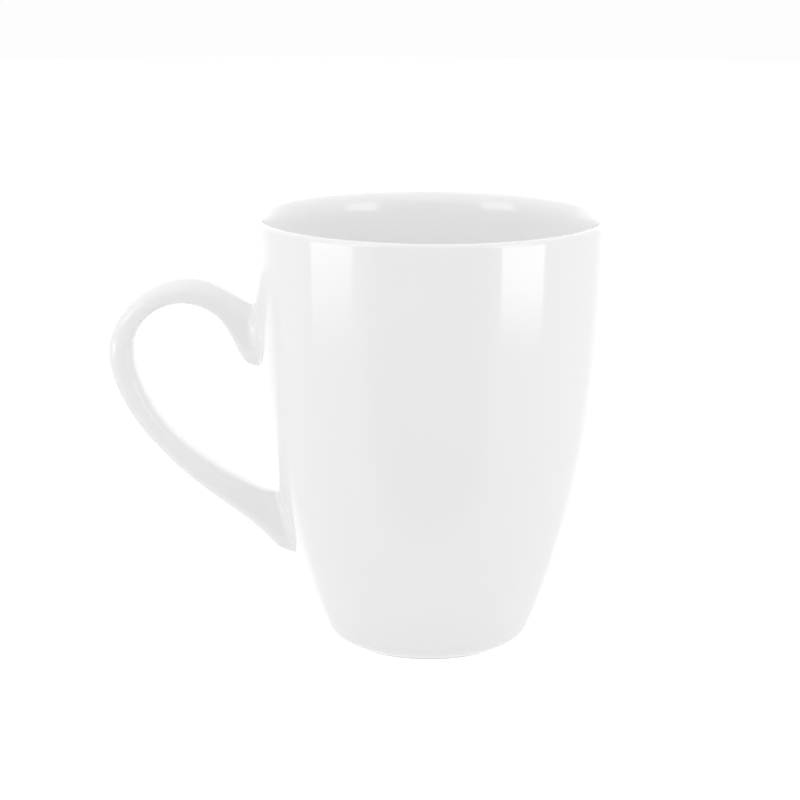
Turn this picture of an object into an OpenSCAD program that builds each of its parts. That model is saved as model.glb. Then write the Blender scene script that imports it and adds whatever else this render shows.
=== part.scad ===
// Glazed ceramic mug: a slip-cast body and a separately cast strap handle, joined with
// clay slip, glazed in two steps and fired standing on a dry foot ring.
// Millimetres. The origin is the centre of the foot ring on the table, +Z is up,
// and the handle points towards -X. The plane y = 0 is the mirror plane.

/* [Body] */
// Height from the table to the top of the lip
height = 103; // [100:1:108]
// Widest outside diameter, at the shoulder where the lip's outer rounding begins
rim_d = 84; // [80:1:90]
// How far the wall has drawn in at the base, in the part that grows evenly with depth
wall_lean = 2; // [1.5:0.5:2.5]
// The part that grows with the square of the depth
wall_belly = 3; // [2.5:0.5:3.5]
// The part that grows with the cube of the depth and rounds the lower wall
wall_taper = 11; // [10:0.5:12]
// Wall thickness at the shoulder, glaze included
wall_top = 3.2; // [2.8:0.1:3.8]
// Wall thickness just above the base, glaze included
wall_base = 5.2; // [4:0.1:6]
// Width of the lip's small outer rounding, from the crest out to the widest radius
lip_w = 0.8; // [0.8:0.1:1.2]
// Height of the outer rounding, from the shoulder up to the crest
lip_h = 1.2; // [1:0.1:1.4]
// Height of the long inner rounding, from the inside wall up to the crest
lip_taper = 6; // [4:0.5:8]
// Height of the cup's floor above the table
floor_z = 7; // [6:0.5:8]

/* [Foot] */
// Outer diameter of the flat contact face of the foot ring
foot_d = 38.4; // [37:0.2:39]
// Width of the flat contact face
foot_w = 2; // [1.5:0.5:3]
// Depth of the glazed recess inside the foot ring
well_depth = 1.6; // [1.2:0.1:2]

/* [Handle] */
// Width of the strap across the mirror plane
strap_w = 11.5; // [10:0.5:12.5]
// Width of the strap where it meets the body, before the slip fillet
root_w = 13; // [12.5:0.5:14]
// Roundness of the strap's section: 2 is an ellipse, larger is squarer
strap_power = 2.7; // [2.2:0.1:3.5]
// Radius of the slip fillet at the upper root
upper_fillet = 2.2; // [1:0.1:2.4]
// Radius of the slip fillet at the lower root
lower_fillet = 1.5; // [1:0.1:2]

/* [Skins] */
// Thickness of the fired glaze
glaze_t = 0.3; // [0.2:0.05:0.4]
// Thickness of the slip layer that joins each end of the handle to the body
slip_t = 0.4; // [0.3:0.05:0.5]

/* [Hidden] */
$fn = 96;

// Steps along the body's curves, along the handle and around its section
wall_steps = 40;
curve_steps = 8;
lip_steps = 16;
strap_steps = 64;
strap_sides = 24;

// Heights that divide the outside and the inside of the wall into stretches
shoulder_z = height - lip_h;
inner_shoulder_z = height - lip_taper;
corner_z = 6;
corner_low = 2;
inner_corner_z = 14;
rim_r = rim_d / 2;
crest_r = rim_r - lip_w;

// Foot: where the glaze stops outside and inside, above the table
foot_r = foot_d / 2;
glaze_stop = [foot_r + 0.9, 0.6];
well_stop = [foot_r - foot_w - 0.6, 0.5];

// Pull points of the strap's two edge curves, as [distance outside the rim radius, height],
// from the upper root over the top of the loop and down to the lower root.
// The first and the last point of each curve lie on the wall.
outer_pull = [[3, 83.5], [6.5, 85.5], [14, 89.5], [28, 85.5], [36.5, 72.5], [32, 58.5],
              [24, 48], [14, 38.5], [3, 31], [-3, 26], [-6, 22]];
inner_pull = [[1.5, 67], [4, 71.5], [6.5, 79], [17, 84], [28, 77.5], [28.5, 66.5],
              [22.5, 55], [15.5, 47.5], [6, 41], [1, 38.5], [-2.5, 36.5]];
outer_roots = [81, 21];
inner_roots = [67, 36];
// Share of the slip fillet that is clay; the rest is glaze pooled in the corner
clay_fillet = 0.6;
// Distance from the wall over which the strap takes on the wall's roundness
seat_len = 6;
// Length along X of the prism that opens the outer glaze at a root
cut_len = 40;

// ---------- curves of the body ----------

// Depth below the shoulder, from 0 there to 1 at the corner above the foot
function depth(z) = (shoulder_z - z) / (shoulder_z - corner_z);

// Outside radius of the wall at height z
function wall_r(z) = let (u = depth(z))
    rim_r - wall_lean * u - wall_belly * u * u - wall_taper * u * u * u;

// Lean of the outside wall at height z, as radius gained per height
function wall_slope(z) = let (u = depth(z))
    (wall_lean + 2 * wall_belly * u + 3 * wall_taper * u * u) / (shoulder_z - corner_z);

// Inside radius of the cup at height z
function inner_r(z) = wall_r(z) - wall_top - (wall_base - wall_top) * depth(z);

// Point on a curve that leaves a towards b and arrives at c from b
function bend(a, b, c, t) = (1 - t) * (1 - t) * a + 2 * t * (1 - t) * b + t * t * c;

// Point on the lip's outer rounding, from 0 degrees at the shoulder to 90 at the crest
function lip_point(a) = [crest_r + lip_w * cos(a), shoulder_z + lip_h * sin(a)];

// A line moved sideways by d, to its right as it is walked
function moved(line, d) = [for (i = [0 : len(line) - 1])
    let (step = line[min(i + 1, len(line) - 1)] - line[max(i - 1, 0)])
    line[i] + d * [step.y, -step.x] / norm(step)];

function reversed(line) = [for (i = [len(line) - 1 : -1 : 0]) line[i]];

function part_of(line, first, last) = [for (i = [first : last]) line[i]];

// Outside of the glaze: foot corner, wall, outer half of the lip
outer_line = let (low = [wall_r(corner_z) - wall_slope(corner_z) * (corner_z - corner_low), corner_low])
    concat(
        [for (i = [0 : curve_steps - 1])
            bend(glaze_stop, low, [wall_r(corner_z), corner_z], i / curve_steps)],
        [for (i = [0 : wall_steps - 1])
            let (z = corner_z + (shoulder_z - corner_z) * i / wall_steps) [wall_r(z), z]],
        [for (i = [0 : curve_steps]) lip_point(90 * i / curve_steps)]);

// Inside of the glaze: long inner rounding of the lip, wall, rounded corner, floor
inner_line = let (
        edge = [inner_r(inner_shoulder_z), inner_shoulder_z],
        brow = [edge.x + wall_slope(inner_shoulder_z) * lip_taper, height],
        start = [inner_r(inner_corner_z), inner_corner_z],
        turn = [start.x - wall_slope(inner_corner_z) * (inner_corner_z - floor_z), floor_z],
        end = [start.x / 2, floor_z])
    concat(
        [for (i = [1 : lip_steps - 1]) bend([crest_r, height], brow, edge, i / lip_steps)],
        [for (i = [0 : wall_steps - 1])
            let (z = inner_shoulder_z + (inner_corner_z - inner_shoulder_z) * i / wall_steps)
            [inner_r(z), z]],
        [for (i = [0 : curve_steps]) bend(start, turn, end, i / curve_steps)],
        [[0, floor_z]]);

// The glazed surface from foot to floor, and the clay surface one glaze thickness under it
glaze_line = concat(outer_line, inner_line);
clay_line = moved(glaze_line, -glaze_t);
crest = len(outer_line) - 1;
last = len(glaze_line) - 1;

// Underside recess: flat ceiling with a rounded edge down to the foot ring
well_line = let (ceiling_r = well_stop.x - 2.4)
    concat([[0, well_depth]],
        [for (i = [0 : curve_steps])
            bend([ceiling_r, well_depth], [well_stop.x - 0.4, well_depth], well_stop, i / curve_steps)]);
well_clay = moved(well_line, -glaze_t);

// ---------- curves of the handle ----------

// Pull points from wall to wall, with one more beyond each end so that the curve reaches the wall
function edge_points(pull, roots) = let (
        first = [wall_r(roots[0]), roots[0]],
        end = [wall_r(roots[1]), roots[1]],
        p = concat([first], [for (q = pull) [q.x + rim_r, q.y]], [end]),
        n = len(p) - 1)
    concat([2 * first - p[1]], p, [2 * end - p[n - 1]]);

// Point at s, from 0 to 1, on the smooth curve that leans towards its pull points (a uniform
// cubic spline, smooth to the second derivative)
function pulled(p, s) = let (
        n = len(p) - 3,
        i = min(floor(s * n), n - 1),
        t = s * n - i,
        r = 1 - t)
    (r * r * r * p[i] + (3 * t * t * t - 6 * t * t + 4) * p[i + 1]
        + (3 * r * r * r - 6 * r * r + 4) * p[i + 2] + t * t * t * p[i + 3]) / 6;

outer_curve = edge_points(outer_pull, outer_roots);
inner_curve = edge_points(inner_pull, inner_roots);

// Stations along the strap, closer together near the two roots
stations = [for (i = [0 : strap_steps])
    let (t = i / strap_steps) t - 0.65 * sin(360 * t) / (2 * PI)];

// Sine and cosine flattened towards a rounded rectangle
function squared(v) = sign(v) * pow(abs(v), 2 / strap_power);

// Growth of the section at distance d from the wall: a quarter-round fillet
function flare(d, radius) = let (q = 1 - min(1, max(0, d) / radius)) radius * (1 - sqrt(1 - q * q));

// The fillet is full on top of a root, three quarters beside it and almost nothing below it
function flare_share(up) = 1 - 0.9 * pow((1 - up) / 2, 2);

// Distance of the wall from the plane x = 0, at y beside the mirror plane and height z
function wall_reach(y, z) = sqrt(pow(wall_r(z), 2) - y * y);

// One ring of the strap at station s, as points [x, y, z]. Its surface is moved in by inset,
// its end rings stand proud of the glazed wall by that much, and it has that share of the fillet.
function ring(s, inset, proud, share) = let (
        top = pulled(outer_curve, s),
        low = pulled(inner_curve, s),
        mid = (top + low) / 2,
        half = norm(top - low) / 2,
        along = (top - low) / norm(top - low),
        d = max(0, mid.x - wall_r(mid.y)),
        near = 1 - min(1, d / seat_len),
        wide = strap_w / 2 + (root_w - strap_w) / 2 * near * near,
        grow = share * flare(d, s < 0.5 ? upper_fillet : lower_fillet))
    [for (k = [0 : strap_sides - 1])
        let (
            c = squared(cos(360 * k / strap_sides)),
            w = squared(sin(360 * k / strap_sides)),
            swell = grow * flare_share(c * sign(along.y)) - inset,
            flat = mid + along * (half + swell) * c,
            y = (wide + swell) * w,
            seated = wall_reach(y, flat.y) + max(d, proud),
            x = flat.x + (seated - flat.x) * near * near)
        [-x, y, flat.y]];

glaze_rings = [for (s = stations) ring(s, 0, 0, 1)];
clay_rings = [for (s = stations) ring(s, glaze_t, slip_t - glaze_t, clay_fillet)];

// The outline of a root, shrunk by f towards its middle and laid at distance d outside the wall
function seat(outline, f, d) = let (m = middle(outline))
    [for (p = outline) let (y = m.y + (p.y - m.y) * f, z = m.z + (p.z - m.z) * f)
        [-(wall_reach(y, z) + d), y, z]];
function middle(points) = let (n = len(points)) [for (k = [0 : 2]) sum_of(points, k) / n];
function sum_of(points, k, i = 0) = i == len(points) ? 0 : points[i][k] + sum_of(points, k, i + 1);

upper_root = clay_rings[0];
lower_root = clay_rings[strap_steps];
// Steps in which a root's face is filled from its middle outwards
fill = [0.02, 0.35, 0.7, 1];

// ---------- solids from rings ----------

// Two triangles for each cell between neighbouring rings; count wraps round when closed
function skin_faces(rings, sides, closed) = [for (i = [0 : rings - (closed ? 1 : 2)], k = [0 : sides - 1])
    let (
        a = i * sides + k,
        b = i * sides + (k + 1) % sides,
        c = ((i + 1) % rings) * sides + (k + 1) % sides,
        d = ((i + 1) % rings) * sides + k)
    each [[a, b, c], [a, c, d]]];

module closed_tube(rings) {
    n = len(rings);
    m = len(rings[0]);
    first = [for (k = [m - 1 : -1 : 0]) k];
    end = [for (k = [0 : m - 1]) (n - 1) * m + k];
    polyhedron([for (r = rings) each r], concat([first], skin_faces(n, m, false), [end]));
}

module hollow_tube(rings) {
    polyhedron([for (r = rings) each r], skin_faces(len(rings), len(rings[0]), true));
}

module turned(section) {
    rotate_extrude() polygon(section);
}

// ---------- sub-parts ----------

// Fired clay shell with its floor and dry foot ring
module clay_body() {
    color("linen")
        turned(concat(well_clay,
            [[foot_r - foot_w - 0.35, 0.2], [foot_r - foot_w, 0], [foot_r, 0], [foot_r + 0.45, 0.25]],
            clay_line));
}

// Solid strap with a flared root at each end
module clay_handle() {
    color("linen")
        closed_tube(concat(
            [for (f = part_of(fill, 0, 2)) seat(upper_root, f, slip_t - glaze_t)],
            clay_rings,
            [for (f = reversed(part_of(fill, 0, 2))) seat(lower_root, f, slip_t - glaze_t)]));
}

// Thin layer of slip between the body and one root of the handle
module slip_joint(outline) {
    color("wheat")
        closed_tube(concat(
            [for (f = fill) seat(outline, f, -glaze_t + 0.01)],
            [for (f = reversed(fill)) seat(outline, f, slip_t - glaze_t)]));
}

module upper_slip_joint() {
    slip_joint(upper_root);
}

module lower_slip_joint() {
    slip_joint(reversed(lower_root));
}

// Prism through the wall with the outline of a root
module root_cut(outline) {
    translate([-rim_r - cut_len / 4, 0, 0])
        rotate([90, 0, 90])
            linear_extrude(cut_len) polygon([for (p = outline) [p.y, p.z]]);
}

// Dipped glaze on the outside, from the foot corner to the crest of the lip
module outer_glaze() {
    color("white")
        difference() {
            turned(concat(part_of(glaze_line, 0, crest), reversed(part_of(clay_line, 0, crest))));
            root_cut(upper_root);
            root_cut(lower_root);
        }
}

// Poured glaze on the inside, from the crest of the lip to the middle of the floor
module inner_glaze() {
    color("white")
        turned(concat(part_of(glaze_line, crest, last), reversed(part_of(clay_line, crest, last))));
}

// Glaze all round the strap, which runs out on the body at both roots
module handle_glaze() {
    color("white")
        hollow_tube(concat(glaze_rings,
            [seat(lower_root, 1, 0)], reversed(clay_rings), [seat(upper_root, 1, 0)]));
}

// Glaze in the recess inside the foot ring
module foot_well_glaze() {
    color("white")
        turned(concat(well_line, reversed(well_clay)));
}

clay_body();
clay_handle();
upper_slip_joint();
lower_slip_joint();
outer_glaze();
inner_glaze();
handle_glaze();
foot_well_glaze();
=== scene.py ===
# %% [markdown]
# # A glazed ceramic mug
#
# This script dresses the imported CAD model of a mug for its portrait. The mug is cast in two
# clay parts, a cup and a strap handle, joined with slip, coated with a white glaze and fired
# on a dry foot ring. The CAD model says where each of its eight pieces lies.
# Every piece is remade here as a finer surface in the same place, so that the glaze shows the
# long clean reflections that make a mug look fired and not printed.
#
# Each step has a text cell that says what the piece is on the real mug and why it is made the
# way it is, and then a short code cell that makes it and prints what it measured.

import math

import bpy
import numpy as np
from mathutils import Matrix, Vector


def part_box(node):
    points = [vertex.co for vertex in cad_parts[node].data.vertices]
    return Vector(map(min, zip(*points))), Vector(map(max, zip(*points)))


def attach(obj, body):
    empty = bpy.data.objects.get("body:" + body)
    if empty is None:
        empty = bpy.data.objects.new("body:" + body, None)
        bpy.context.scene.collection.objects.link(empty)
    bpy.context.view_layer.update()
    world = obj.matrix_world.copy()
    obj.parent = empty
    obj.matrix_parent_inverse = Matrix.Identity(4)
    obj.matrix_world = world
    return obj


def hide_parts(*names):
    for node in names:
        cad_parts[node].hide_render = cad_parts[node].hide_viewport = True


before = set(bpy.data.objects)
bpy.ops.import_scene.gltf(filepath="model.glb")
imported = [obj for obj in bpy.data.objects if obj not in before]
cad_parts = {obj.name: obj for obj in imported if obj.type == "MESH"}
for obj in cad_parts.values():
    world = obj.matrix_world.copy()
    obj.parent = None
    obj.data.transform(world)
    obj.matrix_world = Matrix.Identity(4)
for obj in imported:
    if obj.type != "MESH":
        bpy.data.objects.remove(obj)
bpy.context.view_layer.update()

# %% [markdown]
# ## The mug's dimensions
#
# A potter keeps a mug's shape in one template: the profile of the wall. The wall here is a
# radius that shrinks with depth below the shoulder in three parts: one even, one squared and
# one cubed, so that it runs almost straight at the top and rounds in towards the foot. The
# height and the widest radius are read off the CAD model's outer glaze, and the rest are the
# design's own numbers, in metres. `MM` turns the workshop's millimetres into metres.

# %% Dimensions of the cup
MM = 0.001

high_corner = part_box("outer_glaze")[1]
HEIGHT = high_corner.z
RIM_R = round(high_corner.x, 6)

WALL_LEAN = 2 * MM
WALL_BELLY = 3 * MM
WALL_TAPER = 11 * MM
WALL_TOP = 3.2 * MM
WALL_BASE = 5.2 * MM
LIP_W = 0.8 * MM
LIP_H = 1.2 * MM
LIP_TAPER = 6 * MM
CREST_R = RIM_R - LIP_W
SHOULDER_Z = HEIGHT - LIP_H
INNER_SHOULDER_Z = HEIGHT - LIP_TAPER
CORNER_Z = 6 * MM
CORNER_LOW_Z = 2 * MM
INNER_CORNER_Z = 14 * MM
FLOOR_Z = 7 * MM

FOOT_R = 19.2 * MM
FOOT_W = 2 * MM
WELL_DEPTH = 1.6 * MM
GLAZE_STOP = np.array([FOOT_R + 0.9 * MM, 0.6 * MM])
WELL_STOP = np.array([FOOT_R - FOOT_W - 0.6 * MM, 0.5 * MM])

GLAZE_T = 0.3 * MM
SLIP_T = 0.4 * MM
print(f"height {HEIGHT / MM:.1f} mm, rim radius {RIM_R / MM:.2f} mm")

# %% [markdown]
# ## Curves before surfaces
#
# Everything on a mug is either turned or swept, so it pays to get the curves right first.
# The wall has a formula. The lip is rounded off a little on its outside, by a quarter ellipse,
# and a lot on its inside, so that it is thin to drink from. That long rounding and the two
# corners, above the foot and inside at the floor, are bends: a curve that leaves one line and
# arrives on another. They could be circular fillets, but a bend meets both lines exactly in
# their own directions, and the glaze's highlight then runs over the join without a kink.

# %% Curves of the wall
WALL_STEPS = 64
BEND_STEPS = 16
LIP_STEPS = 28
FLAT_STEPS = 8


def depth(z):
    """How far down the wall a height is: 0 at the shoulder, 1 at the corner above the foot."""
    return (SHOULDER_Z - z) / (SHOULDER_Z - CORNER_Z)


def wall_radius(z):
    """Outside radius: the rim's, less a part that grows evenly with depth, a part that grows
    with its square and a part that grows with its cube."""
    u = depth(z)
    return RIM_R - WALL_LEAN * u - WALL_BELLY * u**2 - WALL_TAPER * u**3


def wall_slope(z):
    """Radius gained for each metre of height: the derivative of wall_radius."""
    u = depth(z)
    return (WALL_LEAN + 2 * WALL_BELLY * u + 3 * WALL_TAPER * u**2) / (SHOULDER_Z - CORNER_Z)


def inner_radius(z):
    """Inside radius: the outside one, less a wall that thickens evenly with depth."""
    return wall_radius(z) - WALL_TOP - (WALL_BASE - WALL_TOP) * depth(z)


def bend(start, pull, end, steps):
    """Points on the curve (1-t)^2 start + 2t(1-t) pull + t^2 end, for t from 0 to 1."""
    t = np.linspace(0, 1, steps + 1)[:, None]
    return (1 - t) ** 2 * np.array(start) + 2 * t * (1 - t) * np.array(pull) + t**2 * np.array(end)


def lip_arc(steps):
    """Points on the lip's outer rounding, a quarter ellipse from the shoulder to the crest."""
    a = np.linspace(0, np.pi / 2, steps + 1)
    return np.column_stack([CREST_R + LIP_W * np.cos(a), SHOULDER_Z + LIP_H * np.sin(a)])


def moved(line, distance):
    """The line moved to its right as it is walked. Each point goes square to the chord between
    its two neighbours."""
    ahead = np.vstack([line[1:], line[-1:]])
    behind = np.vstack([line[:1], line[:-1]])
    across = (ahead - behind)[:, ::-1] * [1, -1]
    return line + distance * across / np.linalg.norm(across, axis=1, keepdims=True)


def stacked(*lines):
    """Lines joined end to end, leaving out each line's first point where it repeats the last."""
    joined = lines[0]
    for line in lines[1:]:
        repeats = np.allclose(joined[-1], line[0], atol=1e-9)
        joined = np.vstack([joined, line[1:] if repeats else line])
    return joined


# %% The glaze's line from foot to floor
wall_z = np.linspace(CORNER_Z, SHOULDER_Z, WALL_STEPS + 1)
corner = [wall_radius(CORNER_Z), CORNER_Z]
corner_pull = [corner[0] - wall_slope(CORNER_Z) * (CORNER_Z - CORNER_LOW_Z), CORNER_LOW_Z]
outer_line = stacked(
    bend(GLAZE_STOP, corner_pull, corner, BEND_STEPS),
    np.column_stack([wall_radius(wall_z), wall_z]),
    lip_arc(LIP_STEPS),
)

inner_z = np.linspace(INNER_SHOULDER_Z, INNER_CORNER_Z, WALL_STEPS + 1)
lip_foot = np.array([inner_radius(INNER_SHOULDER_Z), INNER_SHOULDER_Z])
inner_brow = [lip_foot[0] + wall_slope(INNER_SHOULDER_Z) * LIP_TAPER, HEIGHT]
inner_corner = np.array([inner_radius(INNER_CORNER_Z), INNER_CORNER_Z])
inner_turn = wall_slope(INNER_CORNER_Z) * (INNER_CORNER_Z - FLOOR_Z)
floor_pull = [inner_corner[0] - inner_turn, FLOOR_Z]
floor_edge = [inner_corner[0] / 2, FLOOR_Z]
FLOOR_CENTRE_R = 0.5 * MM
floor_r = np.linspace(floor_edge[0], FLOOR_CENTRE_R, FLAT_STEPS + 1)
inner_line = stacked(
    bend([CREST_R, HEIGHT], inner_brow, lip_foot, LIP_STEPS),
    np.column_stack([inner_radius(inner_z), inner_z]),
    bend(inner_corner, floor_pull, floor_edge, BEND_STEPS),
    np.column_stack([floor_r, np.full_like(floor_r, FLOOR_Z)]),
)

glaze_line = stacked(outer_line, inner_line)
clay_line = moved(glaze_line, -GLAZE_T)
crest = len(outer_line) - 1
print(f"glaze line: {len(glaze_line)} points, crest at point {crest}")

# %% [markdown]
# ## Turning a profile, and skinning rings
#
# A lathe, a jigger wheel and a plaster mould all give a round cup, so the cup's pieces are
# profiles turned round the Z axis. The handle is a strip of rings, one for each place along
# it. Both are the same kind of surface: rows of points with a cell between each four
# neighbours. A row could be joined with Blender's Spin or Skin tools, but numbering the cells
# of a grid directly keeps every edge on the curve and every face the right way round. The rows
# either run back to the first one, as on a hollow skin, or end in a point in the middle of
# the first and the last row.
#
# The faces' direction is tested with the signed volume: the sum of each triangle's corner
# product is positive only when the faces look outwards.

# %% From rows of points to a mesh
AROUND = 288
SHARP_ANGLE = math.radians(40)


def signed_volume(points, triangles):
    """A sixth of the sum over the triangles of first corner . (second x third)."""
    a, b, c = (points[triangles[:, k]] for k in range(3))
    return np.einsum("ij,ij->i", a, np.cross(b, c)).sum() / 6


def skinned(name, rows, loop):
    """A closed mesh over rows of points, an array of rows x columns x 3. Cell i, k joins points
    k and k+1 of row i to the same points of row i+1, and the columns wrap round. With loop the
    last row meets the first. Without it a middle point closes each end with a fan."""
    count, columns = rows.shape[:2]
    i = np.arange(count if loop else count - 1)[:, None]
    k = np.arange(columns)[None, :]
    after = (k + 1) % columns
    next_row = (i + 1) % count
    cells = np.stack(
        [i * columns + k, i * columns + after, next_row * columns + after, next_row * columns + k],
        axis=-1,
    ).reshape(-1, 4)
    points = rows.reshape(-1, 3)
    fans = np.empty((0, 3), int)
    if not loop:
        first, last = len(points), len(points) + 1
        points = np.vstack([points, rows[0].mean(0), rows[-1].mean(0)])
        k, after = k.ravel(), after.ravel()
        end = (count - 1) * columns
        fans = np.vstack([
            np.column_stack([np.full(columns, first), after, k]),
            np.column_stack([end + k, end + after, np.full(columns, last)]),
        ])
    triangles = np.vstack([cells[:, [0, 1, 2]], cells[:, [0, 2, 3]], fans])
    if signed_volume(points, triangles) < 0:
        cells, fans = cells[:, ::-1], fans[:, ::-1]
    mesh = bpy.data.meshes.new(name)
    mesh.from_pydata(points.tolist(), [], cells.tolist() + fans.tolist())
    mesh.shade_smooth()
    mesh.set_sharp_from_angle(angle=SHARP_ANGLE)
    piece = bpy.data.objects.new(name, mesh)
    bpy.context.scene.collection.objects.link(piece)
    return piece


def turned(name, line, loop=False):
    """A profile of (radius, height) points turned round Z: at angle a a point lies at
    (radius cos a, radius sin a, height)."""
    a = np.arange(AROUND) * 2 * np.pi / AROUND
    r, z = line[:, :1], line[:, 1:]
    rows = np.stack([r * np.cos(a), r * np.sin(a), z + 0 * a], axis=-1)
    return skinned(name, rows, loop)


# %% [markdown]
# ## Putting a piece in place
#
# Every piece rides on the mug's one body, stands for one CAD node, which it hides, and takes
# the material it is given. The helper prints how far the piece's box is from its CAD node's
# box, which is the quickest test that a formula was repeated without a slip.

# %% Place a piece
def settled(piece, node, material):
    """Puts the piece on the body in place of its CAD node and its material."""
    piece.data.materials.append(material)
    co = np.empty(3 * len(piece.data.vertices), np.float32)
    piece.data.vertices.foreach_get("co", co)
    co = co.reshape(-1, 3)
    low, high = (np.array(c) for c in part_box(node))
    off = max(np.abs(co.min(0) - low).max(), np.abs(co.max(0) - high).max())
    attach(piece, "root")
    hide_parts(node)
    print(f"{piece.name}: {len(piece.data.polygons)} faces, box within {off / MM:.3f} mm of {node}")
    return piece


# %% [markdown]
# ## Writing materials as sums
#
# A material is a small sum: a tone, plus a little mottling, less a little where the glaze
# pools. Wiring such a sum node by node hides it, so one small class wraps a shader socket and
# lets it be added and multiplied like a number. Each operation puts one Math node in the tree.
# Everything else, such as a noise or a bump, comes from one method that takes the node's type,
# its settings and its sockets.

# %% Sockets that add and multiply
class Level:
    """A number that varies over the surface. Its operators add Math nodes to its recipe."""

    def __init__(self, recipe, socket):
        self.recipe = recipe
        self.socket = socket

    def _math(self, operation, first, second):
        settings = {"operation": operation}
        return self.recipe.add("ShaderNodeMath", settings, {0: first, 1: second})

    def __add__(self, other):
        return self._math("ADD", self, other)

    def __radd__(self, other):
        return self._math("ADD", other, self)

    def __sub__(self, other):
        return self._math("SUBTRACT", self, other)

    def __rsub__(self, other):
        return self._math("SUBTRACT", other, self)

    def __mul__(self, other):
        return self._math("MULTIPLY", self, other)

    def __rmul__(self, other):
        return self._math("MULTIPLY", other, self)


class Recipe:
    """The node tree of one material."""

    def __init__(self, name):
        self.material = bpy.data.materials.new(name)
        self.material.use_nodes = True
        self.nodes = self.material.node_tree.nodes
        self.links = self.material.node_tree.links
        self.nodes.clear()

    def add(self, kind, settings=None, sockets=None, output=0):
        """Adds a node of that type, sets its settings, then fills its sockets with values or
        links. Sockets are named by position, name or identifier."""
        node = self.nodes.new(kind)
        for name, value in (settings or {}).items():
            setattr(node, name, value)
        for key, value in (sockets or {}).items():
            named = [s for s in node.inputs if key in (s.identifier, s.name)]
            socket = node.inputs[key] if isinstance(key, int) else named[0]
            if isinstance(value, Level):
                self.links.new(value.socket, socket)
            else:
                socket.default_value = value
        return Level(self, node.outputs[output]) if node.outputs else None

    def place(self):
        """The point on the piece, in the mug's own coordinates, in metres."""
        return self.add("ShaderNodeTexCoord", output="Object")

    def height(self):
        """Height above the table, in metres."""
        return self.add("ShaderNodeSeparateXYZ", None, {0: self.place()}, "Z")

    def noise(self, grain, detail=2.0, roughness=0.5):
        """Cloudy noise from 0 to 1 whose patches are about grain metres across."""
        sockets = {"Vector": self.place(), "Scale": 1 / grain, "Detail": detail, "Roughness": roughness}
        return self.add("ShaderNodeTexNoise", None, sockets)

    def ramped(self, value, low, high):
        """0 below low, 1 above high and a smooth step between them."""
        settings = {"interpolation_type": "SMOOTHSTEP"}
        sockets = {"Value": value, "From Min": low, "From Max": high}
        return self.add("ShaderNodeMapRange", settings, sockets)

    def tinted(self, share, first, second):
        """A colour that goes from the first to the second as share goes from 0 to 1. Each is
        three numbers or a colour made before."""
        a, b = (c if isinstance(c, Level) else (*c, 1) for c in (first, second))
        sockets = {"Factor_Float": share, "A_Color": a, "B_Color": b}
        return self.add("ShaderNodeMix", {"data_type": "RGBA"}, sockets, 2)

    def bumped(self, height, relief):
        """A normal from a height of 0 to 1 that stands for relief metres."""
        return self.add("ShaderNodeBump", None, {"Height": height, "Strength": 1.0, "Distance": relief})

    def finished(self, sockets):
        """Ends the tree in a Principled BSDF and returns the material."""
        shader = self.add("ShaderNodeBsdfPrincipled", None, sockets)
        self.add("ShaderNodeOutputMaterial", None, {"Surface": shader})
        return self.material


# %% [markdown]
# ## White glaze
#
# A tin-white glaze is glass, a third of a millimetre thick, over pale clay. It is as smooth as
# glass, but not as flat: it dries from a dip in faint waves, so straight reflections waver a
# little. It draws thin over the edge of the lip, where the clay tints it, and gathers
# where the wall turns in above the foot, where it looks a touch deeper. A few pinholes the
# width of a hair stay where a bubble broke in the kiln.
#
# It could be one white colour with a low roughness, but then the mug looks like plastic. The
# waves go into the normal, since they only show in reflections, and the thin and thick places
# go into the colour.

# %% The glaze recipe
GLAZE_TONE = (0.920, 0.920, 0.918)
DEEP_TONE = (0.890, 0.893, 0.893)
THIN_TONE = (0.920, 0.917, 0.912)
GLAZE_ROUGHNESS = 0.02
MOTTLE_ROUGHNESS = 0.01
PINHOLE_ROUGHNESS = 0.2
GLAZE_IOR = 1.6
WAVE_GRAIN = 11 * MM
RIPPLE_GRAIN = 2.2 * MM
WAVE_RELIEF = 0.006 * MM
RIPPLE_SHARE = 0.06
MOTTLE_GRAIN = 17 * MM
MOTTLE_SHARE = 0.25
POOLED_SHARE = 0.7
# Borders of the pooled and the thin glaze, below and above the height they are asked for at,
# and how far the mottling pushes the pooled one about
POOLED_BORDER = (5 * MM, 7 * MM)
THIN_BORDER = (0.6 * MM, 0.4 * MM)
BORDER_WANDER = 6 * MM
PINHOLE_SPACING = 4.5 * MM
PINHOLE_R = 0.11 * MM
PINHOLE_DEPTH = 0.3


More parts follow.
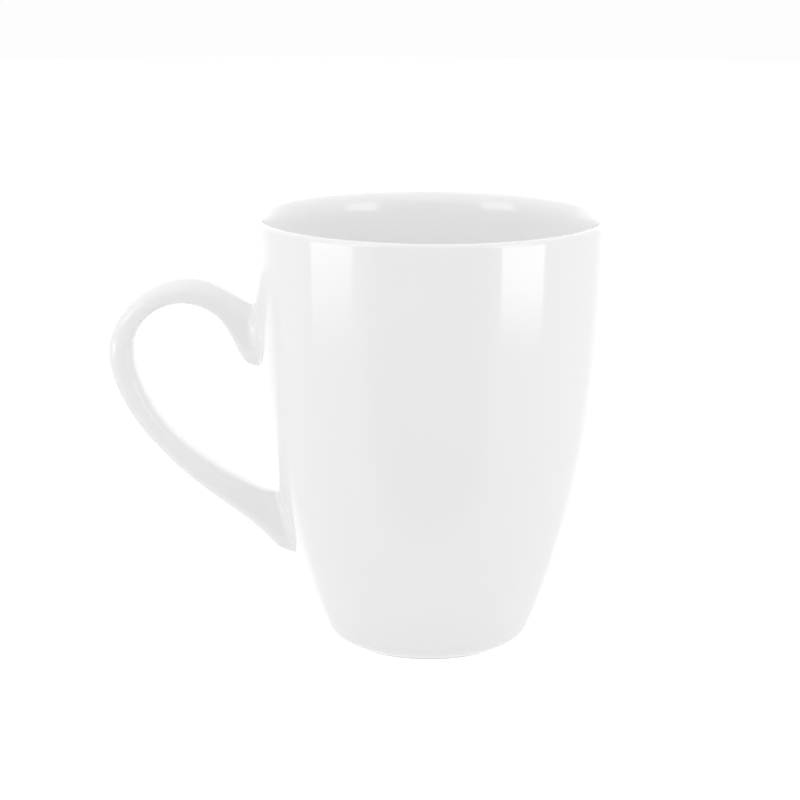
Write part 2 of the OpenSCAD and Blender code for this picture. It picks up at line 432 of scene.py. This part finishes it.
def glaze(name, thick_z, thin_z):
    """Glaze over one area: deeper in tone below thick_z and thinner above thin_z, heights in
    metres, each over a soft border."""
    recipe = Recipe(name)
    height = recipe.height()
    mottle = recipe.noise(MOTTLE_GRAIN, detail=3)
    border = height + BORDER_WANDER * (mottle - 0.5)
    pooled = 1 - recipe.ramped(border, thick_z - POOLED_BORDER[0], thick_z + POOLED_BORDER[1])
    drawn = recipe.ramped(height, thin_z - THIN_BORDER[0], thin_z + THIN_BORDER[1])
    tone = recipe.tinted(pooled * POOLED_SHARE + mottle * MOTTLE_SHARE, GLAZE_TONE, DEEP_TONE)
    colour = recipe.tinted(drawn, tone, THIN_TONE)
    cells = {"Vector": recipe.place(), "Scale": 1 / PINHOLE_SPACING, "Randomness": 1.0}
    bubble = recipe.add("ShaderNodeTexVoronoi", None, cells, "Distance")
    hole = 1 - recipe.ramped(bubble, 0, PINHOLE_R / PINHOLE_SPACING)
    waves = recipe.noise(WAVE_GRAIN, detail=1) + RIPPLE_SHARE * recipe.noise(RIPPLE_GRAIN, detail=1)
    normal = recipe.bumped(waves - hole * PINHOLE_DEPTH, WAVE_RELIEF)
    return recipe.finished({
        "Base Color": colour,
        "Roughness": GLAZE_ROUGHNESS + MOTTLE_ROUGHNESS * mottle + PINHOLE_ROUGHNESS * hole,
        "Normal": normal,
        "IOR": GLAZE_IOR,
    })


THIN_LIP_Z = HEIGHT - 0.8 * MM
outside_glaze = glaze("white_glaze_outside", 9 * MM, THIN_LIP_Z)
inside_glaze = glaze("white_glaze_inside", FLOOR_Z + 3 * MM, THIN_LIP_Z)
strap_glaze_finish = glaze("white_glaze_strap", 20 * MM, HEIGHT)
print("glaze nodes:", len(outside_glaze.node_tree.nodes))

# %% [markdown]
# ## Fired clay and slip
#
# The foot ring is wiped clean of glaze so that it doesn't weld itself to the kiln shelf. What
# shows there is bare white stoneware: chalky, slightly warm, with grains of sand and fine
# circles from the wet sponge, and a greyer band where it has rubbed on tables. Slip is the same
# clay let down with water, so it fires to the same body, only finer and a little paler.

# %% The clay recipe
CLAY_TONE = (0.84, 0.82, 0.78)
SAND_TONE = (0.64, 0.61, 0.56)
RUBBED_TONE = (0.72, 0.71, 0.69)
SLIP_TONE = (0.84, 0.82, 0.78)
CLAY_IOR = 1.45
CLAY_ROUGHNESS = 0.86
RUBBED_POLISH = 0.25
SAND_POLISH = 0.08
SAND_GRAIN = 0.5 * MM
# The part of the sand's noise that shows as darker grains, and the share of the relief it makes
SAND_CUT = (0.58, 0.72)
SAND_RELIEF = 0.7
CLOUD_GRAIN = 6 * MM
CLOUD_SHARE = 0.1
RUBBED_SHARE = 0.6
RUBBED_Z = (0.05 * MM, 0.15 * MM)
RUBBED_WANDER = 0.1 * MM
SPONGE_PITCH = 0.35 * MM
# A Wave texture of this scale has rings one metre apart
METRE_RINGS = 0.314


def bare_clay(name, tone, sandy, relief):
    """Unglazed clay: tone, a share of darker sand grains, sponge circles round the Z axis, and
    a rubbed band where it touches the table."""
    recipe = Recipe(name)
    sand = recipe.noise(SAND_GRAIN, detail=4, roughness=0.65)
    grains = recipe.ramped(sand, *SAND_CUT)
    cloud = recipe.noise(CLOUD_GRAIN, detail=2)
    rubbed = 1 - recipe.ramped(recipe.height() + RUBBED_WANDER * cloud, *RUBBED_Z)
    body = recipe.tinted(grains * sandy + CLOUD_SHARE * cloud, tone, SAND_TONE)
    colour = recipe.tinted(rubbed * RUBBED_SHARE, body, RUBBED_TONE)
    settings = {"wave_type": "RINGS", "rings_direction": "Z", "wave_profile": "SIN"}
    circles = {"Vector": recipe.place(), "Scale": METRE_RINGS / SPONGE_PITCH, "Distortion": 0.6}
    sponge = recipe.add("ShaderNodeTexWave", settings, circles, "Fac")
    return recipe.finished({
        "Base Color": colour,
        "Roughness": CLAY_ROUGHNESS - RUBBED_POLISH * rubbed - SAND_POLISH * grains,
        "Normal": recipe.bumped(sand * SAND_RELIEF + sponge * (1 - SAND_RELIEF), relief),
        "IOR": CLAY_IOR,
    })


clay_finish = bare_clay("fired_clay_body", CLAY_TONE, 0.5, 0.05 * MM)
slip_finish = bare_clay("fired_slip_joint", SLIP_TONE, 0.15, 0.02 * MM)
print("clay nodes:", len(clay_finish.node_tree.nodes))

# %% [markdown]
# ## The clay cup
#
# The cup is one casting: floor, wall, lip and foot ring. Only the foot ring shows, because
# everything else is under glaze, but the whole body is modelled so that the skins have
# something to lie on. Its profile starts in the middle of the underside, runs out through the
# recess to the foot ring, up the wall, over the lip and down to the middle of the floor. The
# foot's edges are bends too: a potter rounds them with a wet sponge so that they don't chip.

# %% Cast the cup
well_edge = [WELL_STOP[0] - 2.4 * MM, WELL_DEPTH]
well_r = np.linspace(FLOOR_CENTRE_R, well_edge[0], FLAT_STEPS + 1)
well_line = stacked(
    np.column_stack([well_r, np.full_like(well_r, WELL_DEPTH)]),
    bend(well_edge, [WELL_STOP[0] - 0.4 * MM, WELL_DEPTH], WELL_STOP, BEND_STEPS),
)
well_clay = moved(well_line, -GLAZE_T)

FOOT_STEPS = 6
EDGE_IN = 0.25 * MM
EDGE_PULL = 0.1 * MM
foot_in = FOOT_R - FOOT_W
inner_side = [foot_in - 0.35 * MM, 0.2 * MM]
outer_side = [FOOT_R + 0.45 * MM, 0.25 * MM]
foot_line = stacked(
    bend(inner_side, [foot_in - EDGE_PULL, 0], [foot_in + EDGE_IN, 0], FOOT_STEPS),
    bend([FOOT_R - EDGE_IN, 0], [FOOT_R + EDGE_PULL, 0], outer_side, FOOT_STEPS),
)
clay_cup = turned("clay_cup", stacked(well_clay, foot_line, clay_line))
settled(clay_cup, "clay_body", clay_finish)

# %% [markdown]
# ## Three glaze skins on the cup
#
# The cup is glazed in three goes: poured full and emptied, dipped to above the foot, and
# brushed in the recess. Each go is a thin closed skin between the glaze line and the clay
# line, and the outer and the inner one share the crest of the lip, point for point, so the
# join can't show. A Solidify modifier could give them their thickness, but it would push the
# glaze's edge out at the foot, where a real one ends in a wiped line.

# %% Glaze the cup
def skin(surface, backing, loop):
    """A profile that runs along the glaze's surface and back along the clay behind it."""
    return np.vstack([surface, backing[::-1]]) if loop else np.vstack([backing[::-1], surface])


outer_skin = skin(glaze_line[: crest + 1], clay_line[: crest + 1], True)
inner_skin = skin(glaze_line[crest:], clay_line[crest:], False)
cup_outside = turned("cup_outside_glaze", outer_skin, loop=True)
cup_inside = turned("cup_inside_glaze", inner_skin)
cup_well = turned("cup_foot_well_glaze", np.vstack([well_line, well_clay[::-1]]))
settled(cup_outside, "outer_glaze", outside_glaze)
settled(cup_inside, "inner_glaze", inside_glaze)
settled(cup_well, "foot_well_glaze", outside_glaze)

# %% [markdown]
# ## The strap handle
#
# The handle is a flat strap, cast in its own mould and stuck on while both parts are leather
# hard. Seen from the side its outer and inner edges are two different curves: the strap is
# thick where it leaves the wall, thins over the top of the loop and thickens again at the
# lower root. Each edge is a smooth spline that leans towards a few pull points, given as
# distance outside the rim radius and height. A sweep along one centre line with a changing
# width could do it too, but two edges are what a mould maker draws.

# %% Edge curves of the strap
OUTER_PULL = np.array([
    [3, 83.5], [6.5, 85.5], [14, 89.5], [28, 85.5], [36.5, 72.5], [32, 58.5],
    [24, 48], [14, 38.5], [3, 31], [-3, 26], [-6, 22],
]) * MM
INNER_PULL = np.array([
    [1.5, 67], [4, 71.5], [6.5, 79], [17, 84], [28, 77.5], [28.5, 66.5],
    [22.5, 55], [15.5, 47.5], [6, 41], [1, 38.5], [-2.5, 36.5],
]) * MM
OUTER_ROOTS = np.array([81, 21]) * MM
INNER_ROOTS = np.array([67, 36]) * MM


def edge_points(pull, roots):
    """Pull points from wall to wall, with one more beyond each end, as far from the wall as
    the next one is, so that the curve starts and ends on the wall."""
    first, end = ([wall_radius(z), z] for z in roots)
    p = np.vstack([first, pull + [RIM_R, 0], end])
    return np.vstack([2 * p[0] - p[1], p, 2 * p[-1] - p[-2]])


def pulled(p, s):
    """Uniform cubic B-spline at s from 0 to 1: four pull points in a row, weighted by
    (1-t)^3, 3t^3-6t^2+4, 3(1-t)^3-6(1-t)^2+4 and t^3, over 6."""
    spans = len(p) - 3
    i = np.minimum(np.floor(s * spans).astype(int), spans - 1)
    t = (s * spans - i)[:, None]
    r = 1 - t
    weights = [r**3, 3 * t**3 - 6 * t**2 + 4, 3 * r**3 - 6 * r**2 + 4, t**3]
    return sum(w * p[i + k] for k, w in enumerate(weights)) / 6


# %% [markdown]
# ## The section and its two roots
#
# Across, the strap is a rounded rectangle: an ellipse whose sine and cosine are raised to a
# power below one. Near the wall it widens a little and grows a quarter-round fillet of slip,
# smoothed on with a wet brush. The clay takes up part of that fillet and glaze pools in the
# rest. The fillet is full on top of a root, where a finger can reach, and almost nothing
# underneath. The end of the strap takes on the wall's roundness, so it
# lies on the cup all round.

# %% Rings along the strap
STRAP_W = 11.5 * MM
ROOT_W = 13 * MM
STRAP_POWER = 2.7
UPPER_FILLET = 2.2 * MM
LOWER_FILLET = 1.5 * MM
CLAY_FILLET = 0.6
UNDERSIDE_LOSS = 0.9
SEAT_LEN = 6 * MM
STRAP_STEPS = 256
STRAP_SIDES = 96

outer_edge = edge_points(OUTER_PULL, OUTER_ROOTS)
inner_edge = edge_points(INNER_PULL, INNER_ROOTS)


def clear_of_wall(s):
    """How far the strap's middle line stands outside the wall at stations s."""
    mid = (pulled(outer_edge, s) + pulled(inner_edge, s)) / 2
    return mid[:, 0] - wall_radius(mid[:, 1])


# The strap's skin starts and ends where its middle line comes out of the wall, and its
# stations gather there so that the fillets stay round.
FINE_STEPS = 20000
fine = np.linspace(0, 1, FINE_STEPS + 1)
outside = fine[clear_of_wall(fine) > 0]
bunched = (1 - np.cos(np.pi * np.linspace(0, 1, STRAP_STEPS + 1))) / 2
stations = outside[0] + (outside[-1] - outside[0]) * bunched
print(f"strap leaves the wall at {outside[0]:.4f} and meets it at {outside[-1]:.4f}")


def squared(v):
    """A sine or cosine flattened towards a square's: its sign times its size to a power."""
    return np.sign(v) * np.abs(v) ** (2 / STRAP_POWER)


def flare(d, radius):
    """Growth at distance d from the wall: a quarter circle, radius (1 - sqrt(1 - q^2)), where
    q goes from 1 at the wall to 0 where the fillet ends."""
    q = 1 - np.minimum(1, d / radius)
    return radius * (1 - np.sqrt(1 - q**2))


def strap_rings(s, inset, proud, share):
    """Rings at stations s. The middle is halfway between the two edges, and the section's
    long way is Y. The surface lies inset behind the glaze's, it starts proud of the wall, and
    it has that share of the fillet."""
    top, low = pulled(outer_edge, s), pulled(inner_edge, s)
    mid = (top + low) / 2
    half = np.linalg.norm(top - low, axis=1)[:, None] / 2
    along = (top - low) / (2 * half)
    d = np.maximum(0, mid[:, :1] - wall_radius(mid[:, 1:]))
    near = 1 - np.minimum(1, d / SEAT_LEN)
    grow = share * flare(d, np.where(s < 0.5, UPPER_FILLET, LOWER_FILLET)[:, None])
    angle = np.arange(STRAP_SIDES) * 2 * np.pi / STRAP_SIDES
    c, w = squared(np.cos(angle)), squared(np.sin(angle))
    up = c * np.sign(along[:, 1:])
    swell = grow * (1 - UNDERSIDE_LOSS * ((1 - up) / 2) ** 2) - inset
    reach = (half + swell) * c
    x = mid[:, :1] + along[:, :1] * reach
    z = mid[:, 1:] + along[:, 1:] * reach
    y = (STRAP_W / 2 + (ROOT_W - STRAP_W) / 2 * near**2 + swell) * w
    seated = np.sqrt(wall_radius(z) ** 2 - y**2) + np.maximum(d, proud)
    return np.stack([-(x + (seated - x) * near**2), y, z], axis=-1)


def seats(outline, shares, d):
    """A root's outline shrunk to each share of its size and laid at distance d on the wall."""
    middle = outline.mean(0)
    y = middle[1] + (outline[:, 1] - middle[1]) * np.array(shares)[:, None]
    z = middle[2] + (outline[:, 2] - middle[2]) * np.array(shares)[:, None]
    return np.stack([-(np.sqrt(wall_radius(z) ** 2 - y**2) + d), y, z], axis=-1)


glaze_rings = strap_rings(stations, 0, 0, 1)
clay_rings = strap_rings(stations, GLAZE_T, SLIP_T - GLAZE_T, CLAY_FILLET)
print(f"strap reach {-glaze_rings[:, :, 0].min() / MM:.2f} mm, rings {len(glaze_rings)}")

# %% [markdown]
# ## The four pieces of the handle
#
# From inside out: the clay strap, a layer of slip at each root, and the glaze. The glaze skin
# runs along the outside, down to the wall, and back along the clay. Its two ends are let into
# the cup's glaze by a twentieth of a millimetre, since fired glaze has no gap there. The slip
# stands a hundredth of a millimetre off the cup's clay, so that the two faces never coincide.

# %% Make the handle
FILL = [0.02, 0.35, 0.7]
SUNK = -0.05 * MM
SLIP_GAP = 0.01 * MM
upper_root, lower_root = clay_rings[0], clay_rings[-1]
proud = SLIP_T - GLAZE_T

clay_strap = skinned("clay_strap", np.vstack([
    seats(upper_root, FILL, proud), clay_rings, seats(lower_root, FILL[::-1], proud),
]), loop=False)
settled(clay_strap, "clay_handle", clay_finish)

for label, outline in (("upper", upper_root), ("lower", lower_root)):
    inner_face = seats(outline, FILL + [1], SLIP_GAP - GLAZE_T)
    outer_face = seats(outline, [1] + FILL[::-1], proud)
    slip = skinned(f"{label}_slip", np.vstack([inner_face, outer_face]), loop=False)
    settled(slip, f"{label}_slip_joint", slip_finish)

strap_skin = np.vstack([
    glaze_rings,
    seats(glaze_rings[-1], [1], SUNK),
    seats(lower_root, [1], SUNK),
    clay_rings[::-1],
    seats(upper_root, [1], SUNK),
    seats(glaze_rings[0], [1], SUNK),
])
strap_glaze = skinned("strap_glaze", strap_skin, loop=True)
settled(strap_glaze, "handle_glaze", strap_glaze_finish)

# %% [markdown]
# ## Camera
#
# The mug is seen from a little above the rim, with a long lens from about two thirds of a
# metre, so the sides of the cup stay nearly parallel. The handle points to the left, square to
# the view. A camera held by hand or on a stand never points quite at its subject, so three
# small turns, in radians, come after it has been aimed at the pivot.

# %% Place the camera
CAMERA_DISTANCE = 0.650
CAMERA_ELEVATION = 0.2286
CAMERA_PIVOT = Vector((0, 0, 0.052))
CAMERA_YAW = -0.0107
CAMERA_PITCH = -0.0099
CAMERA_ROLL = 0.008
CAMERA_LENS = 122.1

arm = Vector((0, -math.cos(CAMERA_ELEVATION), math.sin(CAMERA_ELEVATION)))
position = CAMERA_PIVOT + CAMERA_DISTANCE * arm
straight = (-arm).to_track_quat("-Z", "Y").to_matrix()
turn = Matrix.Rotation(-CAMERA_YAW, 3, "Y") @ Matrix.Rotation(-CAMERA_PITCH, 3, "X")
turn = turn @ Matrix.Rotation(CAMERA_ROLL, 3, "Z")
camera_data = bpy.data.cameras.new("camera")
camera_data.lens = CAMERA_LENS
camera_data.sensor_width = 36
camera_data.clip_start = 0.01
camera = bpy.data.objects.new("camera", camera_data)
camera.matrix_world = Matrix.Translation(position) @ (straight @ turn).to_4x4()
bpy.context.scene.collection.objects.link(camera)
bpy.context.scene.camera = camera
print("camera at", [round(v, 4) for v in position])

# %% [markdown]
# ## The white table
#
# White ware is shown on a table so bright that it has no edge and no shadow. In a studio that
# is a sheet of white plastic lit from below. Here it is a disc that gives off light, which only
# the camera sees. What the mug itself gets from the table comes from a second panel later on,
# so that the ground can be pure white and the mug's underside still isn't burnt out.

# %% Lay the table
TABLE_R = 1.5
TABLE_CORNERS = 64
TABLE_TONE = 0.1
TABLE_GRAIN = 4 * MM


def flat_mesh(name, corners):
    """One face through the given corners."""
    mesh = bpy.data.meshes.new(name)
    mesh.from_pydata([tuple(c) for c in corners], [], [tuple(range(len(corners)))])
    panel = bpy.data.objects.new(name, mesh)
    bpy.context.scene.collection.objects.link(panel)
    return panel


def glowing(name, radiance):
    """A matt surface that also gives off light evenly."""
    recipe = Recipe(name)
    grain = recipe.noise(TABLE_GRAIN, detail=3)
    matt = recipe.tinted(grain, (TABLE_TONE,) * 3, (TABLE_TONE * 0.97,) * 3)
    return recipe.finished({
        "Base Color": matt,
        "Roughness": 0.9,
        "Emission Color": (1.0, 1.0, 1.0, 1.0),
        "Emission Strength": radiance,
    })


turns = np.arange(TABLE_CORNERS) * 2 * np.pi / TABLE_CORNERS
edge = np.column_stack([TABLE_R * np.cos(turns), TABLE_R * np.sin(turns), 0 * turns])
table = flat_mesh("table", edge.tolist())
table.data.materials.append(glowing("white_table", 1.0))
table.visible_glossy = False
table.visible_diffuse = False
print(f"table: {TABLE_CORNERS} corners, {2 * TABLE_R:.1f} m across")

# %% [markdown]
# ## Soft panels
#
# Glaze is a mirror, so each light is also a shape seen in it. A lamp behind cloth has a soft
# edge, and its light falls off towards the foot. Blender's area lamp can't fade like that, but
# a flat mesh can: its material mixes light with nothing, by how far a place is from each edge.
# The panels are left out of the camera's own view, so they act as light and reflections only.

# %% A panel that fades at its edges
UP = Vector((0, 0, 1))


def heading(azimuth):
    """The level direction at an azimuth in degrees, 0 towards the camera, positive right."""
    a = math.radians(azimuth)
    return Vector((math.sin(a), -math.cos(a), 0))


def along(recipe, axis, centre):
    """How far a place lies from the centre along an axis: (place - centre) . axis."""
    apart = {0: recipe.place(), 1: tuple(centre)}
    offset = recipe.add("ShaderNodeVectorMath", {"operation": "SUBTRACT"}, apart)
    both = {0: offset, 1: tuple(axis)}
    return recipe.add("ShaderNodeVectorMath", {"operation": "DOT_PRODUCT"}, both, "Value")


def soft_panel(name, centre, across, up, size, radiance, fades):
    """A flat light of (width, height) size about its centre, along the unit vectors across and
    up. It gives off radiance in the middle and fades out over fades metres, given for its
    sides, its top and its foot."""
    half_w, half_h = size[0] / 2, size[1] / 2
    corners = [
        centre + i * half_w * across + k * half_h * up
        for i, k in ((-1, -1), (1, -1), (1, 1), (-1, 1))
    ]
    panel = flat_mesh(name, corners)
    recipe = Recipe(name)
    x, y = along(recipe, across, centre), along(recipe, up, centre)
    side, top, foot = fades
    shown = recipe.ramped(half_w - x, 0, side) * recipe.ramped(half_w + x, 0, side)
    shown = shown * recipe.ramped(half_h - y, 0, top) * recipe.ramped(half_h + y, 0, foot)
    glow = recipe.add("ShaderNodeEmission", None, {"Strength": radiance})
    clear = recipe.add("ShaderNodeBsdfTransparent")
    mixed = recipe.add("ShaderNodeMixShader", None, {0: shown, 1: clear, 2: glow})
    recipe.add("ShaderNodeOutputMaterial", None, {"Surface": mixed})
    recipe.material.cycles.emission_sampling = "NONE"
    panel.data.materials.append(recipe.material)
    panel.visible_camera = False
    return panel


# %% [markdown]
# ## Four softboxes
#
# Two low softboxes at the front left and right draw the two window shapes on the outside. Their
# heads are low enough for each window to end just under the lip. The left one fades over its
# whole height, and the right one only in its lower half. Two high softboxes stand closer to the
# camera's line, and the inside of the lip catches them as two small lights.

# %% Set up the softboxes
SOFTBOX_DISTANCE = 0.9
SOFTBOX_SIDE_FADE = 0.04
SOFTBOX_TOP_FADE = 0.02
# For each: azimuth in degrees, heights of foot and head, width, fade at the foot, radiance
SOFTBOXES = {
    "left_softbox": (-65, -0.22, 0.05, 0.54, 0.26, 3.9),
    "right_softbox": (61, -0.205, 0.05, 0.54, 0.13, 3.25),
    "high_left_softbox": (-51, 0.20, 0.55, 0.46, 0.03, 2.7),
    "high_right_softbox": (52, 0.13, 0.48, 0.42, 0.03, 2.7),
}
for name, (azimuth, foot_z, head_z, width, foot_fade, radiance) in SOFTBOXES.items():
    centre = SOFTBOX_DISTANCE * heading(azimuth) + (foot_z + head_z) / 2 * UP
    size = (width, head_z - foot_z)
    fades = (SOFTBOX_SIDE_FADE, SOFTBOX_TOP_FADE, foot_fade)
    soft_panel(name, centre, heading(azimuth + 90), UP, size, radiance, fades)
print("softboxes:", ", ".join(SOFTBOXES))

# %% [markdown]
# ## Card, back light and ground
#
# A grey card around the camera stands in front of the white room and keeps the front of the cup
# a shade darker than its sides, which is what draws a white mug on a white ground. A wide light
# behind the mug shows only where the glaze is seen at a glancing angle, so that the cup's sides
# melt into the ground. The table's glow lights the mug from below. Mirrored in the wall it would
# show a hard horizon, so it is left out of reflections.

# %% Set up the other lights
BACK_AZIMUTH = -175
# For each: centre, across, up, (width, height), radiance, fades of sides, top and foot
PANELS = {
    "camera_card": (
        0.8 * heading(0) - 0.05 * UP, heading(90), UP, (1.7, 1.5), 0.46, (0.4, 0.4, 0.3),
    ),
    "back_light": (
        1.2 * heading(BACK_AZIMUTH), heading(BACK_AZIMUTH + 90), UP, (3.6, 2.0), 1.4,
        (1.0, 0.3, 0.3),
    ),
    "table_glow": (
        -2 * MM * UP, heading(90), heading(180), (4.0, 4.0), 0.85, (0.5, 0.5, 0.5),
    ),
}
panels = {name: soft_panel(name, *setup) for name, setup in PANELS.items()}
panels["table_glow"].visible_glossy = False
print("panels:", ", ".join(panels))

# %% [markdown]
# ## The room
#
# The room is an even white. Its light bounces many times inside a white cup, so the diffuse
# bounces are raised: with the usual four the inside turns grey. The view is Standard, since a
# film-like curve would pull the white ground down.

# %% Light the room
ROOM_LIGHT = 0.98

world = bpy.data.worlds.new("white_room")
world.use_nodes = True
background = world.node_tree.nodes["Background"].inputs
background["Color"].default_value = (1, 1, 1, 1)
background["Strength"].default_value = ROOM_LIGHT
scene = bpy.context.scene
scene.world = world
scene.view_settings.view_transform = "Standard"
scene.cycles.max_bounces = 16
scene.cycles.diffuse_bounces = 12
print(f"room light {ROOM_LIGHT}, {scene.cycles.diffuse_bounces} diffuse bounces")
